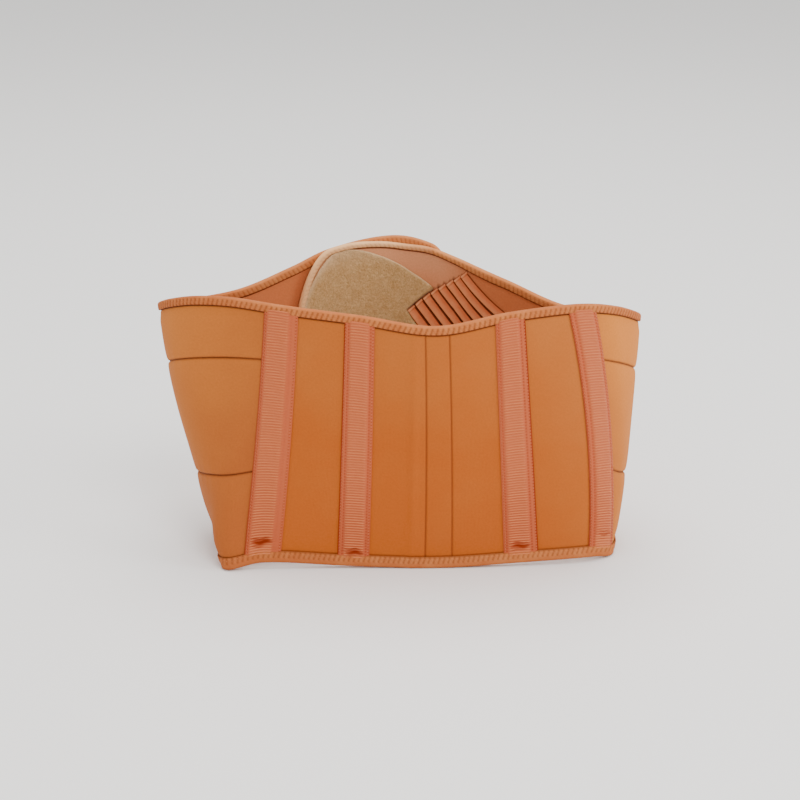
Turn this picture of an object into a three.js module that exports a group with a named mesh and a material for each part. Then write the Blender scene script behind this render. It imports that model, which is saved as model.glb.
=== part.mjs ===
// Lumbosacral brace: a padded back support, closed in front and stood on its hem.
// Millimetres, +Z up. The back panel faces -Y, the front closure is at +Y, +X is to the viewer's right.
import * as THREE from "three";

// Overall sizes
const HALF_SPAN = 240;
const HALF_DEPTH = 110;
const BACK_HEIGHT = 255;

// Cloth thicknesses and clearances
const WALL = 3;
const CLEAR = 0.35;
const LAYER_CLEAR = 0.6;
const TAPE_THICKNESS = 1.1;
const HEM_TAPE_LEG = 10.5;
const RIM_TAPE_LEG = 8;
const HEM_LIFT = TAPE_THICKNESS + 0.2;
const CASING_EDGE = 1.1;
const STAY_RISE = 1.6;
const STAY_SHARE = 0.62;
const QUILT_RISE = 1.6;
const FLAT_BESIDE_STAY = 22;
const PILE_THICKNESS = 2;
const STRIP_THICKNESS = 1.5;

// Front closure: how far the two flaps stand apart and how they end
const LAYER_STEP = 8;
const PAD_THICKNESS = LAYER_STEP - WALL - 2 * LAYER_CLEAR;
const RIM_DIP = { s: 19.95, spread: 0.42, depth: 4.8 };
const RIM_LIFT = { from: 20.35, to: 20.9, height: 4.5 };
const OUTER_END = -0.75;
const INNER_REACH = 2.05;
const FLAP_CORNER = { s: 1, t: 0.33, steps: 4 };
const OUTER_CORNER = { s: 0.5, t: 0.1, steps: 3 };
const PALE_TAPE_FROM = 19.4;

// The wall's shape at 20 places around the body, counted from the centre of the front to the left.
// Each row holds the top rim, the middle of the height and the hem. X is a share of HALF_SPAN,
// Y of HALF_DEPTH, Z of BACK_HEIGHT.
const WALL_STATIONS = [
  { place: "front centre", topX: 0.008, topY: 0.945, topZ: 1.125, midX: 0.004, midY: 1.018, hemX: 0, hemY: 1.073, hemZ: 0.008 },
  { place: "front left", topX: -0.3, topY: 0.818, topZ: 1.086, midX: -0.296, midY: 0.9, hemX: -0.283, hemY: 0.964, hemZ: 0.008 },
  { place: "front left slope", topX: -0.475, topY: 0.655, topZ: 1.024, midX: -0.458, midY: 0.736, hemX: -0.438, hemY: 0.8, hemZ: 0.004 },
  { place: "left front quarter", topX: -0.688, topY: 0.382, topZ: 0.949, midX: -0.633, midY: 0.473, hemX: -0.575, hemY: 0.545, hemZ: 0 },
  { place: "left behind the fold", topX: -0.883, topY: 0.164, topZ: 0.953, midX: -0.792, midY: 0.2, hemX: -0.692, hemY: 0.236, hemZ: 0.004 },
  { place: "left fold", topX: -1, topY: -0.127, topZ: 0.973, midX: -0.913, midY: -0.127, hemX: -0.735, hemY: -0.109, hemZ: 0.008 },
  { place: "left side", topX: -0.95, topY: -0.364, topZ: 1.016, midX: -0.904, midY: -0.409, hemX: -0.722, hemY: -0.409, hemZ: 0.008 },
  { place: "left side near the back", topX: -0.833, topY: -0.582, topZ: 1.055, midX: -0.829, midY: -0.655, hemX: -0.71, hemY: -0.709, hemZ: 0.004 },
  { place: "left hem corner", topX: -0.679, topY: -0.727, topZ: 1.067, midX: -0.7, midY: -0.8, hemX: -0.717, hemY: -0.973, hemZ: 0 },
  { place: "outer left stay", topX: -0.471, topY: -0.845, topZ: 1.051, midX: -0.517, midY: -0.891, hemX: -0.581, hemY: -0.955, hemZ: 0.024 },
  { place: "inner left stay", topX: -0.158, topY: -0.945, topZ: 1.024, midX: -0.175, midY: -0.964, hemX: -0.196, hemY: -0.945, hemZ: 0.008 },
  { place: "spine", topX: 0.146, topY: -1.018, topZ: 0.992, midX: 0.158, midY: -1, hemX: 0.158, hemY: -0.945, hemZ: 0 },
  { place: "inner right stay", topX: 0.433, topY: -0.936, topZ: 1.035, midX: 0.471, midY: -0.936, hemX: 0.508, hemY: -0.9, hemZ: 0.014 },
  { place: "outer right stay", topX: 0.725, topY: -0.764, topZ: 1.047, midX: 0.808, midY: -0.782, hemX: 0.82, hemY: -0.785, hemZ: 0.016 },
  { place: "right side", topX: 0.883, topY: -0.527, topZ: 1.008, midX: 0.917, midY: -0.545, hemX: 0.893, hemY: -0.665, hemZ: 0 },
  { place: "right fold", topX: 1, topY: -0.109, topZ: 0.925, midX: 0.967, midY: -0.164, hemX: 0.883, hemY: -0.227, hemZ: 0.004 },
  { place: "right behind the fold", topX: 0.942, topY: 0.091, topZ: 0.906, midX: 0.883, midY: 0.091, hemX: 0.804, hemY: 0.182, hemZ: 0.004 },
  { place: "right front quarter", topX: 0.708, topY: 0.345, topZ: 0.914, midX: 0.688, midY: 0.455, hemX: 0.646, hemY: 0.564, hemZ: 0 },
  { place: "front right slope", topX: 0.467, topY: 0.6, topZ: 0.985, midX: 0.45, midY: 0.727, hemX: 0.433, hemY: 0.855, hemZ: 0.004 },
  { place: "front right", topX: 0.258, topY: 0.827, topZ: 1.055, midX: 0.25, midY: 0.909, hemX: 0.233, hemY: 0.991, hemZ: 0.008 },
];
const STATION_COUNT = WALL_STATIONS.length;

// Places of the pieces around the wall, in stations
const SPINE_LEFT = 10.845;
const SPINE_RIGHT = 11.165;
const LEFT_SIDE_FRONT = 3.6;
const RIGHT_SIDE_FRONT = 16.4;
const STAYS = [
  { station: 9, topWidth: 34, hemWidth: 38 },
  { station: 10, topWidth: 29, hemWidth: 32 },
  { station: 12, topWidth: 29, hemWidth: 35 },
  { station: 13, topWidth: 30, hemWidth: 30 },
];

// Heights of the two seams across each padded side, as shares of the wall's height, beside the stay
// and at the front end of the side
const SIDE_SEAMS = [
  { seam: "lower", atStay: 0.37, atFront: 0.25 },
  { seam: "upper", atStay: 0.795, atFront: 0.735 },
];

// Loop patch inside the inner flap: its upper and lower edge as shares of the height, from the
// elastic strips to the flap's rounded end
const PATCH_COLUMNS = [
  { share: 0, top: 0.853, bottom: 0.838 },
  { share: 0.155, top: 0.898, bottom: 0.777 },
  { share: 0.24, top: 0.921, bottom: 0.69 },
  { share: 0.32, top: 0.936, bottom: 0.2 },
  { share: 0.45, top: 0.95, bottom: 0.13 },
  { share: 0.66, top: 0.942, bottom: 0.1 },
  { share: 0.79, top: 0.912, bottom: 0.15 },
  { share: 0.9, top: 0.845, bottom: 0.25 },
  { share: 1, top: 0.72, bottom: 0.35 },
];
const PATCH_RIGHT = 19.43;

// Elastic strips, sewn on beside the loop patch in a slanting row and spreading down to the right side.
// The slope is the share of the height that a strip falls in one station as it leaves the row.
const STRIPS = {
  count: 8,
  width: 9.6,
  first: { s: 18.77, t: 0.945, slope: 0.16 },
  last: { s: 19.81, t: 0.745, slope: 0.27 },
  endStation: 16.75,
};

// How finely the cloth is cut into facets
const CUTS_PER_STATION = 5;
const WALL_ROWS = 5;

const COLOURS = {
  shell: 0xc46f36,
  side: 0xb87749,
  casing: 0xc27957,
  tape: 0xb6704a,
  paleTape: 0xe0b58d,
  pile: 0xb68e67,
  strip: 0xc57349,
  pad: 0xa8643c,
};

const brace = new THREE.Group();
brace.name = "lumbosacral_brace";

// The three level curves that the wall is stretched between
function levelCurve(xColumn, yColumn, zOf) {
  const points = WALL_STATIONS.map((row) => new THREE.Vector3(
    row[xColumn] * HALF_SPAN,
    row[yColumn] * HALF_DEPTH,
    zOf(row) * BACK_HEIGHT,
  ));
  return new THREE.CatmullRomCurve3(points, true, "centripetal");
}
const topCurve = levelCurve("topX", "topY", (row) => row.topZ);
const midCurve = levelCurve("midX", "midY", (row) => (row.topZ + row.hemZ) / 2);
const hemCurve = levelCurve("hemX", "hemY", (row) => row.hemZ);

function aroundShare(s) {
  const turn = s / STATION_COUNT;
  return turn - Math.floor(turn);
}

function smoothStep(from, to, value) {
  const share = Math.min(1, Math.max(0, (value - from) / (to - from)));
  return share * share * (3 - 2 * share);
}

// The bare outer face: s counts stations round the body, t runs from the hem at 0 to the rim at 1
function barePoint(s, t) {
  const around = aroundShare(s);
  const hemWeight = (2 * t - 1) * (t - 1);
  const midWeight = 4 * t * (1 - t);
  const topWeight = t * (2 * t - 1);
  return new THREE.Vector3(0, 0, HEM_LIFT)
    .addScaledVector(hemCurve.getPoint(around), hemWeight)
    .addScaledVector(midCurve.getPoint(around), midWeight)
    .addScaledVector(topCurve.getPoint(around), topWeight);
}

function slopes(s, t) {
  const step = 0.002;
  const along = barePoint(s + step, t).sub(barePoint(s - step, t)).divideScalar(2 * step);
  const up = barePoint(s, t + step).sub(barePoint(s, t - step)).divideScalar(2 * step);
  const outward = new THREE.Vector3().crossVectors(along, up).normalize();
  return { along, up, outward };
}

// The inner flap runs inside the outer one
function innerShare(s) {
  return smoothStep(STATION_COUNT - 3.2, STATION_COUNT + OUTER_END - 0.35, s);
}

// Its rim dips where the outer flap's rim stands highest, and lifts again beyond it
function rimDrop(s) {
  const away = (s - RIM_DIP.s) / RIM_DIP.spread;
  return RIM_DIP.depth * Math.exp(-away * away) - RIM_LIFT.height * smoothStep(RIM_LIFT.from, RIM_LIFT.to, s);
}

// A point of the cloth, `out` millimetres outside the bare face
function clothPoint(s, t, out) {
  const inside = innerShare(s);
  const height = topCurve.getPoint(aroundShare(s)).z;
  const rimShare = 1 - rimDrop(s) / height;
  const level = t * rimShare;
  return barePoint(s, level).addScaledVector(slopes(s, level).outward, out - inside * LAYER_STEP);
}

function wallHeight(s) {
  const around = aroundShare(s);
  return topCurve.getPoint(around).distanceTo(hemCurve.getPoint(around));
}

// Steps (ds, dt) that move a point by a length in millimetres along the cloth
function clothStep(s, t, direction, length) {
  const { along, up } = slopes(s, t);
  const a = along.lengthSq();
  const b = along.dot(up);
  const c = up.lengthSq();
  const p = along.dot(direction) * length;
  const q = up.dot(direction) * length;
  const det = a * c - b * b;
  return { ds: (c * p - b * q) / det, dt: (a * q - b * p) / det };
}

// The station a length in millimetres along the cloth from another, at one height
function stationBeside(s, t, length) {
  const steps = 8;
  let station = s;
  for (let k = 0; k < steps; k += 1) station += length / steps / slopes(station, t).along.length();
  return station;
}

// Station values from one place to another, on the shared cuts, so that layers bend alike
function cutsBetween(from, to) {
  const cuts = [from];
  const first = Math.floor(from * CUTS_PER_STATION) + 1;
  const last = Math.ceil(to * CUTS_PER_STATION) - 1;
  const shortest = 0.3 / CUTS_PER_STATION;
  for (let k = first; k <= last; k += 1) {
    const cut = k / CUTS_PER_STATION;
    if (cut - from > shortest && to - cut > shortest) cuts.push(cut);
  }
  cuts.push(to);
  return cuts;
}

function evenShares(from, to, steps) {
  return Array.from({ length: steps + 1 }, (_, k) => from + (to - from) * k / steps);
}

function addPiece(name, positions, faces, colour, roughness) {
  const geometry = new THREE.BufferGeometry();
  geometry.setAttribute("position", new THREE.Float32BufferAttribute(positions.flatMap((p) => [p.x, p.y, p.z]), 3));
  geometry.setIndex(faces);
  geometry.computeVertexNormals();
  const material = new THREE.MeshStandardMaterial({ color: colour, roughness, metalness: 0 });
  const mesh = new THREE.Mesh(geometry, material);
  mesh.name = name;
  brace.add(mesh);
}

// A closed shell from a grid of columns and rows: place(column, row, face) with face 1 outside, 0 inside
function addShell(name, columns, rows, place, colour, roughness = 0.85) {
  const positions = [];
  const faces = [];
  const index = (face, i, j) => (face * columns + i) * rows + j;
  for (const face of [0, 1]) {
    for (let i = 0; i < columns; i += 1) {
      for (let j = 0; j < rows; j += 1) positions.push(place(i, j, face));
    }
  }
  const quad = (a, b, c, d) => faces.push(a, b, c, a, c, d);
  for (let i = 0; i < columns - 1; i += 1) {
    for (let j = 0; j < rows - 1; j += 1) {
      quad(index(1, i, j), index(1, i + 1, j), index(1, i + 1, j + 1), index(1, i, j + 1));
      quad(index(0, i, j), index(0, i, j + 1), index(0, i + 1, j + 1), index(0, i + 1, j));
    }
  }
  for (let i = 0; i < columns - 1; i += 1) {
    const last = rows - 1;
    quad(index(0, i, 0), index(0, i + 1, 0), index(1, i + 1, 0), index(1, i, 0));
    quad(index(1, i, last), index(1, i + 1, last), index(0, i + 1, last), index(0, i, last));
  }
  for (let j = 0; j < rows - 1; j += 1) {
    const last = columns - 1;
    quad(index(0, 0, j), index(1, 0, j), index(1, 0, j + 1), index(0, 0, j + 1));
    quad(index(1, last, j), index(0, last, j), index(0, last, j + 1), index(1, last, j + 1));
  }
  addPiece(name, positions, faces, colour, roughness);
}

// A solid swept through a list of rings of points and closed at both ends. Each ring runs anticlockwise
// as seen from ahead, and `rungs` pairs its points across the section, one step after another.
function addSweep(name, rings, rungs, colour, roughness = 0.8) {
  const size = rings[0].length;
  const faces = [];
  const triangle = (a, b, c) => {
    if (a !== b && b !== c && a !== c) faces.push(a, b, c);
  };
  for (let r = 0; r < rings.length - 1; r += 1) {
    for (let k = 0; k < size; k += 1) {
      const here = r * size;
      const ahead = here + size;
      const next = (k + 1) % size;
      triangle(here + k, here + next, ahead + next);
      triangle(here + k, ahead + next, ahead + k);
    }
  }
  const last = (rings.length - 1) * size;
  for (let k = 0; k < rungs.length - 1; k += 1) {
    const [a, b] = rungs[k];
    const [c, d] = rungs[k + 1];
    triangle(a, c, d);
    triangle(a, d, b);
    triangle(last + a, last + d, last + c);
    triangle(last + a, last + b, last + d);
  }
  addPiece(name, rings.flat(), faces, colour, roughness);
}

// Flap ends: the furthest station reached at each height, with rounded corners
function roundedRows(corner) {
  const { steps } = corner;
  const middle = 2;
  const rows = [];
  for (let k = 0; k < steps; k += 1) {
    const angle = (k / steps) * Math.PI / 2;
    rows.push({ t: corner.t * (1 - Math.cos(angle)), back: corner.s * (1 - Math.sin(angle)) });
  }
  for (let k = 0; k <= middle; k += 1) {
    rows.push({ t: corner.t + (1 - 2 * corner.t) * k / middle, back: 0 });
  }
  for (let k = steps - 1; k >= 0; k -= 1) {
    rows.push({ t: 1 - rows[k].t, back: rows[k].back });
  }
  return rows;
}

const seamShare = (s) => CLEAR / 2 / slopes(s, 0.5).along.length();

// Back panels, joined by the seams beside the spine and under the outer stays
function addPanel(name, from, to, colour) {
  const stations = cutsBetween(from + seamShare(from), to - seamShare(to));
  const heights = evenShares(0, 1, WALL_ROWS);
  addShell(name, stations.length, heights.length, (i, j, face) => (
    clothPoint(stations[i], heights[j], face === 1 ? 0 : -WALL)
  ), colour);
}
const leftStay = STAYS[0].station;
const rightStay = STAYS[STAYS.length - 1].station;
addPanel("back_panel_left", leftStay, SPINE_LEFT, COLOURS.shell);
addPanel("spine_panel", SPINE_LEFT, SPINE_RIGHT, COLOURS.shell);
addPanel("back_panel_right", SPINE_RIGHT, rightStay, COLOURS.shell);

// Padded sides, each sewn in three sections that swell between their seams
function seamHeight({ atStay, atFront }, s, stay, front) {
  return atStay + (atFront - atStay) * (s - stay) / (front - stay);
}
function addSide(side, stay, front) {
  const [low, high] = SIDE_SEAMS;
  const gap = CLEAR / 2 / BACK_HEIGHT;
  const sections = [
    { name: "lower", bottom: () => 0, top: (s) => seamHeight(low, s, stay, front) - gap },
    {
      name: "middle",
      bottom: (s) => seamHeight(low, s, stay, front) + gap,
      top: (s) => seamHeight(high, s, stay, front) - gap,
    },
    { name: "upper", bottom: (s) => seamHeight(high, s, stay, front) + gap, top: () => 1 },
  ];
  const from = Math.min(stay, front);
  const to = Math.max(stay, front);
  const stations = cutsBetween(from + seamShare(from), to - seamShare(to));
  const quilt = [[0, 0], [0.12, 1], [0.5, 1], [0.88, 1], [1, 0]];
  for (const section of sections) {
    const hemmed = section.name === "lower";
    const rimmed = section.name === "upper";
    const rows = [...(hemmed ? ["hem"] : []), ...quilt, ...(rimmed ? ["rim"] : [])];
    addShell(`${side}_side_${section.name}`, stations.length, rows.length, (i, j, face) => {
      const s = stations[i];
      if (rows[j] === "hem" || rows[j] === "rim") {
        return clothPoint(s, rows[j] === "hem" ? 0 : 1, face === 1 ? 0 : -WALL);
      }
      const tapeShare = (leg) => (leg + 3 * LAYER_CLEAR) / wallHeight(s);
      const bottom = section.bottom(s) + (hemmed ? tapeShare(HEM_TAPE_LEG) : 0);
      const top = section.top(s) - (rimmed ? tapeShare(RIM_TAPE_LEG) : 0);
      const [share, puff] = rows[j];
      const t = bottom + (top - bottom) * share;
      const beside = barePoint(s, t).distanceTo(barePoint(stay, t));
      const swell = QUILT_RISE * puff
        * smoothStep(FLAT_BESIDE_STAY, 2 * FLAT_BESIDE_STAY, beside) * smoothStep(0, 0.6, Math.abs(s - front));
      return clothPoint(s, t, face === 1 ? swell : -WALL);
    }, COLOURS.side);
  }
}
addSide("left", leftStay, LEFT_SIDE_FRONT);
addSide("right", rightStay, RIGHT_SIDE_FRONT);

// Front flaps: plain cloth up to an end with rounded corners
function addFlap(name, seamStation, endStation, corner) {
  const direction = Math.sign(endStation - seamStation);
  const rows = roundedRows(corner);
  const shortEnd = endStation - direction * corner.s;
  const start = seamStation + direction * seamShare(seamStation);
  const steady = cutsBetween(Math.min(start, shortEnd), Math.max(start, shortEnd));
  if (direction < 0) steady.reverse();
  const cornerCuts = 3;
  const columns = steady.length + cornerCuts;
  const place = (i, j, face) => {
    const extra = Math.max(0, i - steady.length + 1) / cornerCuts;
    const base = steady[Math.min(i, steady.length - 1)];
    const s = base + direction * extra * (corner.s - rows[j].back);
    return clothPoint(s, rows[j].t, face === 1 ? 0 : -WALL);
  };
  const placeInOrder = direction > 0 ? place : (i, j, face) => place(columns - 1 - i, j, face);
  addShell(name, columns, rows.length, placeInOrder, COLOURS.shell);
}
addFlap("outer_flap", LEFT_SIDE_FRONT, OUTER_END, OUTER_CORNER);
addFlap("inner_flap", RIGHT_SIDE_FRONT, STATION_COUNT + INNER_REACH, FLAP_CORNER);

// Folded tape round an edge: a U-shaped section with one leg on each face of the cloth, pressed flat
// where it stands on the floor
function addBinding(name, path, leg, colour) {
  const outer = LAYER_CLEAR + TAPE_THICKNESS;
  const section = [
    { out: LAYER_CLEAR, inward: leg },
    { out: outer, inward: leg },
    { out: outer, inward: -outer },
    { out: -WALL - outer, inward: -outer },
    { out: -WALL - outer, inward: leg },
    { out: -WALL - LAYER_CLEAR, inward: leg },
    { out: -WALL - LAYER_CLEAR, inward: -CLEAR },
    { out: LAYER_CLEAR, inward: -CLEAR },
  ];
  const rings = path.map((point, k) => {
    const inPath = k > 0 && k < path.length - 1;
    const before = path[Math.max(0, k - 1)];
    const after = path[Math.min(path.length - 1, k + 1)];
    const level = ({ s, t }) => barePoint(s, inPath ? t : point.t);
    const tangent = level(after).sub(level(before)).normalize();
    const { outward } = slopes(point.s, point.t);
    const inwardWay = new THREE.Vector3().crossVectors(outward, tangent).normalize();
    return section.map(({ out, inward }) => {
      const { ds, dt } = clothStep(point.s, point.t, inwardWay, inward);
      const place = clothPoint(point.s + ds, point.t + dt, out);
      place.z = Math.max(place.z, 0);
      return place;
    });
  });
  addSweep(name, rings, [[0, 1], [7, 2], [6, 3], [5, 4]], colour);
}

// Edge paths run with the cloth on their left, seen from outside
const outerShortEnd = OUTER_END + OUTER_CORNER.s;
const innerEnd = STATION_COUNT + INNER_REACH;
const innerShortEnd = innerEnd - FLAP_CORNER.s;
const jointAt = (s) => 7 * seamShare(s);
function edgePath(from, to, t) {
  return cutsBetween(from, to).map((s) => ({ s, t }));
}
const firstEdge = outerShortEnd + jointAt(outerShortEnd);
const hemPath = edgePath(firstEdge, innerShortEnd - jointAt(innerShortEnd), 0);
const rimPath = edgePath(firstEdge, PALE_TAPE_FROM - jointAt(PALE_TAPE_FROM), 1).reverse();
const cornerPath = roundedRows(FLAP_CORNER).map(({ t, back }) => ({ s: innerEnd - back, t }));
const innerEndPath = [...cornerPath, ...edgePath(PALE_TAPE_FROM, innerShortEnd, 1).reverse().slice(1)];
const outerEndPath = roundedRows(OUTER_CORNER).map(({ t, back }) => ({ s: OUTER_END + back, t })).reverse();
addBinding("bottom_binding", hemPath, HEM_TAPE_LEG, COLOURS.tape);
addBinding("top_binding", rimPath, RIM_TAPE_LEG, COLOURS.tape);
addBinding("inner_flap_binding", innerEndPath, RIM_TAPE_LEG, COLOURS.paleTape);
addBinding("outer_flap_binding", outerEndPath, RIM_TAPE_LEG, COLOURS.tape);

// Stay casings: ribbed ribbons whose middle is lifted by the flat stay inside
function addCasing(name, { station, topWidth, hemWidth }) {
  const section = [
    { side: -1, out: LAYER_CLEAR },
    { side: -1, out: CASING_EDGE + LAYER_CLEAR },
    { side: -STAY_SHARE - 0.08, out: CASING_EDGE + LAYER_CLEAR },
    { side: -STAY_SHARE + 0.06, out: CASING_EDGE + STAY_RISE },
    { side: STAY_SHARE - 0.06, out: CASING_EDGE + STAY_RISE },
    { side: STAY_SHARE + 0.08, out: CASING_EDGE + LAYER_CLEAR },
    { side: 1, out: CASING_EDGE + LAYER_CLEAR },
    { side: 1, out: LAYER_CLEAR },
    { side: 0.6, out: LAYER_CLEAR },
    { side: 0.2, out: LAYER_CLEAR },
    { side: -0.2, out: LAYER_CLEAR },
    { side: -0.6, out: LAYER_CLEAR },
  ];
  const tapeShare = (leg) => (leg + 2 * LAYER_CLEAR) / wallHeight(station);
  const rings = evenShares(tapeShare(HEM_TAPE_LEG), 1 - tapeShare(RIM_TAPE_LEG), 10).map((t) => {
    const half = (hemWidth + (topWidth - hemWidth) * t) / 2;
    return section.map(({ side, out }) => clothPoint(stationBeside(station, t, side * half), t, out));
  });
  const rungs = [[0, 1], [11, 2], [10, 3], [9, 4], [8, 5], [7, 6]];
  addSweep(name, rings, rungs, COLOURS.casing);
}
STAYS.forEach((stay, k) => addCasing(`stay_casing_${k + 1}`, stay));

// Loop patch on the inside of the inner flap
function patchEdge(column, share) {
  const steps = PATCH_COLUMNS.length - 1;
  const k = Math.min(steps - 1, PATCH_COLUMNS.findLastIndex((row) => row.share <= share));
  const from = PATCH_COLUMNS[k];
  const to = PATCH_COLUMNS[k + 1];
  const part = (share - from.share) / (to.share - from.share);
  return from[column] + (to[column] - from[column]) * part;
}
const patchLeft = innerEnd - (RIM_TAPE_LEG + 2) / slopes(innerEnd, 0.5).along.length();
const patchStations = cutsBetween(PATCH_RIGHT, patchLeft);
const patchRows = 7;
addShell("loop_patch", patchStations.length, patchRows, (i, j, face) => {
  const share = (patchStations[i] - PATCH_RIGHT) / (patchLeft - PATCH_RIGHT);
  const top = patchEdge("top", share);
  const bottom = patchEdge("bottom", share);
  const out = -WALL - LAYER_CLEAR - (face === 1 ? 0 : PILE_THICKNESS);
  return clothPoint(patchStations[i], bottom + (top - bottom) * j / (patchRows - 1), out);
}, COLOURS.pile, 0.98);

// Elastic strips beside the patch, each falling less and less steeply towards the right side
for (let k = 0; k < STRIPS.count; k += 1) {
  const mix = (column) => STRIPS.first[column] + (STRIPS.last[column] - STRIPS.first[column]) * k / (STRIPS.count - 1);
  const start = { s: mix("s"), t: mix("t"), slope: mix("slope") };
  const length = start.s - STRIPS.endStation;
  const heightAt = (s) => start.t - start.slope * (start.s - s) * (1 - (start.s - s) / length / 2);
  const near = -WALL - LAYER_CLEAR;
  const corners = [
    { side: -1, out: near - STRIP_THICKNESS },
    { side: 1, out: near - STRIP_THICKNESS },
    { side: 1, out: near },
    { side: -1, out: near },
  ];
  const rings = evenShares(start.s, STRIPS.endStation, Math.ceil(length * CUTS_PER_STATION)).map((s) => {
    const t = heightAt(s);
    const ahead = clothPoint(s - 0.01, heightAt(s - 0.01), 0).sub(clothPoint(s, t, 0)).normalize();
    const across = new THREE.Vector3().crossVectors(slopes(s, t).outward, ahead).normalize();
    return corners.map(({ side, out }) => {
      const { ds, dt } = clothStep(s, t, across, side * STRIPS.width / 2);
      return clothPoint(s + ds, t + dt, out);
    });
  });
  addSweep(`elastic_strip_${k + 1}`, rings, [[3, 0], [2, 1]], COLOURS.strip);
}

// Hook-and-loop pad that holds the two flaps together, hidden between them
const padStations = cutsBetween(STATION_COUNT + OUTER_END + 0.35, STATION_COUNT + 0.8);
const padHeights = evenShares(0.15, 0.85, 5);
addShell("closure_pad", padStations.length, padHeights.length, (i, j, face) => (
  clothPoint(padStations[i], padHeights[j], LAYER_CLEAR + (face === 1 ? PAD_THICKNESS : 0))
), COLOURS.pad, 0.95);

// The origin is on the floor, under the middle of the outline
const outline = new THREE.Box3().setFromObject(brace);
const middle = outline.getCenter(new THREE.Vector3());
brace.position.set(-middle.x, -middle.y, -outline.min.z);

export default brace;
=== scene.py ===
# A lumbosacral brace of foam-backed cloth, closed in front and stood on its hem, seen from behind.
# Metres, +Z up, the back panel facing -Y.
import math

import bpy
import numpy as np
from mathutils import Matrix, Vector


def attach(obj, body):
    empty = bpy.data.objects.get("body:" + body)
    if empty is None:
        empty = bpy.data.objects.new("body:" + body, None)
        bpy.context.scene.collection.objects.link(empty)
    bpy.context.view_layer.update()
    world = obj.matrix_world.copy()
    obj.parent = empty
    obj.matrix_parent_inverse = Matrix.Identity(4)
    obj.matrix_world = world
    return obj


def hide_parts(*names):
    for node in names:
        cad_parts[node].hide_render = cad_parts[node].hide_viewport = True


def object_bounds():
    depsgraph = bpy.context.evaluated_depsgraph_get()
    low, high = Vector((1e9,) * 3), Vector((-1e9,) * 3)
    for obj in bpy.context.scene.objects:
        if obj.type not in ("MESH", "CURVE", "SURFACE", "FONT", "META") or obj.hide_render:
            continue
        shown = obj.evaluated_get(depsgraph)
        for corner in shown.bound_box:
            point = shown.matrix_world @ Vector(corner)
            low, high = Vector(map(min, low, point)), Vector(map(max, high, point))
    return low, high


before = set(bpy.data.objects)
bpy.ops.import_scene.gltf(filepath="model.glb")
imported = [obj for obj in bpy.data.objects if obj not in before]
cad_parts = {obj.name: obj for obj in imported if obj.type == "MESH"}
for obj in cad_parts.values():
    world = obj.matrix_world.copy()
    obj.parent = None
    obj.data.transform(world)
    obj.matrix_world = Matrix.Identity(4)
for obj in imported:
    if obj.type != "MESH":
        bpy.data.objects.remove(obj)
cad_low, cad_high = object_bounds()
bpy.ops.object.select_all(action="DESELECT")
MM = 0.001

# The camera stands behind the brace and looks down on it by about 20 degrees, from 1.7 m, so that the
# far rim shows over the near one.
PHOTO_SIDE = 800
SENSOR_WIDTH = 36
FOCAL_PIXELS = 1646
VIEW_ELEVATION = math.radians(20)
VIEW_DISTANCE = 1.7
view_target = Vector((0, -0.003, 0.1413))
towards_camera = Vector((0, -math.cos(VIEW_ELEVATION), math.sin(VIEW_ELEVATION)))
bpy.ops.object.camera_add(
    location=view_target + towards_camera * VIEW_DISTANCE,
    rotation=(-towards_camera).to_track_quat("-Z", "Y").to_euler(),
)
camera = bpy.context.object
camera.data.sensor_width = SENSOR_WIDTH
camera.data.lens = SENSOR_WIDTH * FOCAL_PIXELS / PHOTO_SIDE
bpy.context.scene.camera = camera

# The wall that every piece lies on: foam between two knitted faces, stiff enough to stand. Its shape is
# set at 20 stations, counted from the centre of the front to the left, as shares of the half span, the
# half depth and the back's height.
WALL_STATIONS = np.array([
    # rim x, y, z; middle x, y; hem x, y, z
    (0.008, 0.945, 1.125, 0.004, 1.018, 0, 1.073, 0.008),  # front centre
    (-0.3, 0.818, 1.086, -0.296, 0.9, -0.283, 0.964, 0.008),  # front left
    (-0.475, 0.655, 1.024, -0.458, 0.736, -0.438, 0.8, 0.004),  # front left slope
    (-0.688, 0.382, 0.966, -0.633, 0.473, -0.575, 0.545, 0),  # left front quarter
    (-0.883, 0.164, 0.953, -0.792, 0.2, -0.692, 0.236, 0.004),  # left behind the fold
    (-1, -0.127, 0.973, -0.913, -0.127, -0.735, -0.109, 0.008),  # left fold
    (-0.95, -0.364, 1.016, -0.904, -0.409, -0.722, -0.409, 0.008),  # left side
    (-0.833, -0.582, 1.055, -0.829, -0.655, -0.71, -0.709, 0.004),  # left side near the back
    (-0.679, -0.727, 1.067, -0.7, -0.8, -0.717, -0.973, 0),  # left hem corner
    (-0.471, -0.845, 1.051, -0.517, -0.891, -0.581, -0.955, 0.024),  # outer left stay
    (-0.158, -0.945, 1.024, -0.175, -0.964, -0.196, -0.945, 0.008),  # inner left stay
    (0.146, -1.018, 0.992, 0.158, -1, 0.158, -0.945, 0),  # spine
    (0.433, -0.936, 1.035, 0.471, -0.936, 0.508, -0.9, 0.014),  # inner right stay
    (0.725, -0.764, 1.047, 0.808, -0.782, 0.82, -0.785, 0.016),  # outer right stay
    (0.883, -0.527, 1.008, 0.917, -0.545, 0.893, -0.665, 0),  # right side
    (1, -0.109, 0.925, 0.967, -0.164, 0.883, -0.227, 0.004),  # right fold
    (0.942, 0.091, 0.906, 0.883, 0.091, 0.804, 0.182, 0.004),  # right behind the fold
    (0.708, 0.345, 0.902, 0.688, 0.455, 0.646, 0.564, 0),  # right front quarter
    (0.467, 0.6, 0.985, 0.45, 0.727, 0.433, 0.855, 0.004),  # front right slope
    (0.258, 0.827, 1.055, 0.25, 0.909, 0.233, 0.991, 0.008),  # front right
])
STATION_COUNT = len(WALL_STATIONS)
WALL = 3 * MM
LAYER_CLEAR = 0.6 * MM
TAPE_THICKNESS = 1.1 * MM
HEM_TAPE_LEG = 11.5 * MM
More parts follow.
